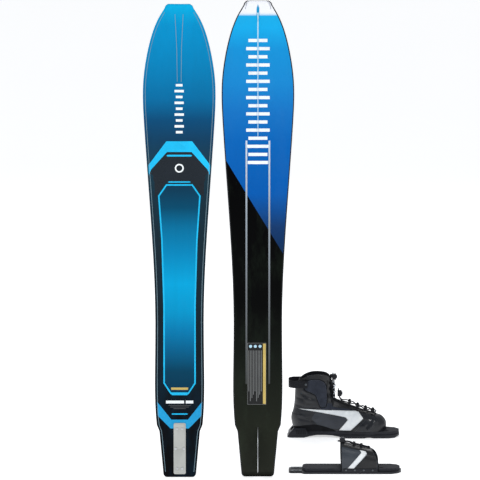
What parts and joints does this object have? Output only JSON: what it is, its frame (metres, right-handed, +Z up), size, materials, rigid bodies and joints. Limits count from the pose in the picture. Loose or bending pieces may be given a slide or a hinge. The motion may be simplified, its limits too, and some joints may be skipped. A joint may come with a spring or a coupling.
{
  "type": "water ski set",
  "caption": "Wide slalom water ski shown from top and base, with a lace-up front boot binding on its plate and a rear toe binding; fins, cord locks and pull loop move.",
  "frame": {"origin": "on the floor, under the middle of the left ski's tail, where a rack holds it", "axes": "+Z up along both skis, towards their tips; +X to the right across the skis and along both bindings from heel to toe; -Y out of the left ski's top sheet"},
  "size_m": [0.9328, 0.846, 1.73],
  "materials": {
    "core_board": "satin",
    "top_graphic": "gloss",
    "base_graphic": "gloss",
    "insert_brass": "machined",
    "fin_box_metal": "anodised",
    "fin_plate_silver": "brushed",
    "fin_metal": "satin",
    "screw_steel": "machined",
    "chassis_plastic": "satin",
    "footbed_foam": "textured",
    "upper_synthetic": "satin coated synthetic",
    "liner_neoprene": "knit",
    "mesh_fabric": "mesh",
    "gloss_overlay": "gloss",
    "panel_fabric": "woven",
    "white_overlay": "satin",
    "webbing": "woven",
    "lace_white": "braided",
    "lace_black": "braided",
    "lock_plastic": "satin",
    "lock_button": "satin"
  },
  "bodies": {
    "left_ski": {"left_ski_base_sheet": "base_graphic", "left_ski_binding_inserts": "insert_brass", "left_ski_core": "core_board", "left_ski_fin_box": "fin_box_metal", "left_ski_fin_plate": "fin_plate_silver", "left_ski_fin_screws": "screw_steel", "left_ski_top_sheet": "top_graphic"},
    "left_fin": {"left_ski_fin": "fin_metal"},
    "right_ski": {"right_ski_base_sheet": "base_graphic", "right_ski_binding_inserts": "insert_brass", "right_ski_core": "core_board", "right_ski_fin_box": "fin_box_metal", "right_ski_fin_plate": "fin_plate_silver", "right_ski_fin_screws": "screw_steel", "right_ski_top_sheet": "top_graphic"},
    "right_fin": {"right_ski_fin": "fin_metal"},
    "boot_binding": {"boot_ankle_panels": "panel_fabric", "boot_eyestays": "upper_synthetic", "boot_footbed": "footbed_foam", "boot_forefoot_overlays": "gloss_overlay", "boot_heel_cage": "chassis_plastic", "boot_heel_counter": "gloss_overlay", "boot_lace_loops": "webbing", "boot_liner": "liner_neoprene", "boot_loop_rivets": "screw_steel", "boot_lower_lace": "lace_black", "boot_plate": "chassis_plastic", "boot_plate_screws": "screw_steel", "boot_shell": "upper_synthetic", "boot_side_stripes": "white_overlay", "boot_toe_cap": "mesh_fabric", "boot_tongue": "liner_neoprene", "boot_upper_lace": "lace_white"},
    "boot_pull_loop": {"boot_pull_loop": "webbing"},
    "boot_upper_lock": {"boot_upper_cord_lock": "lock_plastic"},
    "boot_upper_button": {"boot_upper_lock_button": "lock_button"},
    "boot_lower_lock": {"boot_lower_cord_lock": "lock_plastic"},
    "boot_lower_button": {"boot_lower_lock_button": "lock_button"},
    "toe_binding": {"toe_footbed": "footbed_foam", "toe_front_hook": "chassis_plastic", "toe_gaiter": "upper_synthetic", "toe_gaiter_stripes": "white_overlay", "toe_lace": "lace_black", "toe_lace_loops": "webbing", "toe_plate": "chassis_plastic", "toe_rail_screws": "screw_steel", "toe_side_rails": "chassis_plastic", "toe_slot_plates": "screw_steel"},
    "toe_lock": {"toe_cord_lock": "lock_plastic"},
    "toe_button": {"toe_lock_button": "lock_button"}
  },
  "joints": [
    {"name": "left_fin_fore_aft", "type": "slide", "parent": "left_ski", "child": "left_fin", "axis": [0, 0, 1], "range_m": [-0.003, 0.003]},
    {"name": "right_ski_lift", "type": "slide", "parent": "left_ski", "child": "right_ski", "axis": [0, 0, 1], "range_m": [0, 0.25]},
    {"name": "right_fin_fore_aft", "type": "slide", "parent": "right_ski", "child": "right_fin", "axis": [0, 0, 1], "range_m": [-0.003, 0.003]},
    {"name": "boot_binding_lift", "type": "slide", "parent": "left_ski", "child": "boot_binding", "axis": [0, 0, 1], "range_m": [0, 0.25]},
    {"name": "pull_loop_swing", "type": "hinge", "parent": "boot_binding", "child": "boot_pull_loop", "pos_m": [0.459, 0.69, 0.2005], "axis": [0, 1, 0], "range_deg": [-25, 35], "stiffness_Nm_per_rad": 0.2},
    {"name": "boot_upper_lock_travel", "type": "slide", "parent": "boot_binding", "child": "boot_upper_lock", "axis": [0, 0, 1], "range_m": [0, 0.005]},
    {"name": "boot_upper_button_press", "type": "slide", "parent": "boot_upper_lock", "child": "boot_upper_button", "axis": [-1, 0, 0], "range_m": [0, 0.003], "stiffness_N_per_m": 900},
    {"name": "boot_lower_lock_travel", "type": "slide", "parent": "boot_binding", "child": "boot_lower_lock", "axis": [0, 0, 1], "range_m": [0, 0.005]},
    {"name": "boot_lower_button_press", "type": "slide", "parent": "boot_lower_lock", "child": "boot_lower_button", "axis": [-1, 0, 0], "range_m": [0, 0.003], "stiffness_N_per_m": 900},
    {"name": "toe_binding_lift", "type": "slide", "parent": "left_ski", "child": "toe_binding", "axis": [0, 0, 1], "range_m": [0, 0.25]},
    {"name": "toe_lock_travel", "type": "slide", "parent": "toe_binding", "child": "toe_lock", "axis": [-1, 0, 0], "range_m": [0, 0.005]},
    {"name": "toe_button_press", "type": "slide", "parent": "toe_lock", "child": "toe_button", "axis": [0, 0, -1], "range_m": [0, 0.003], "stiffness_N_per_m": 900}
  ]
}
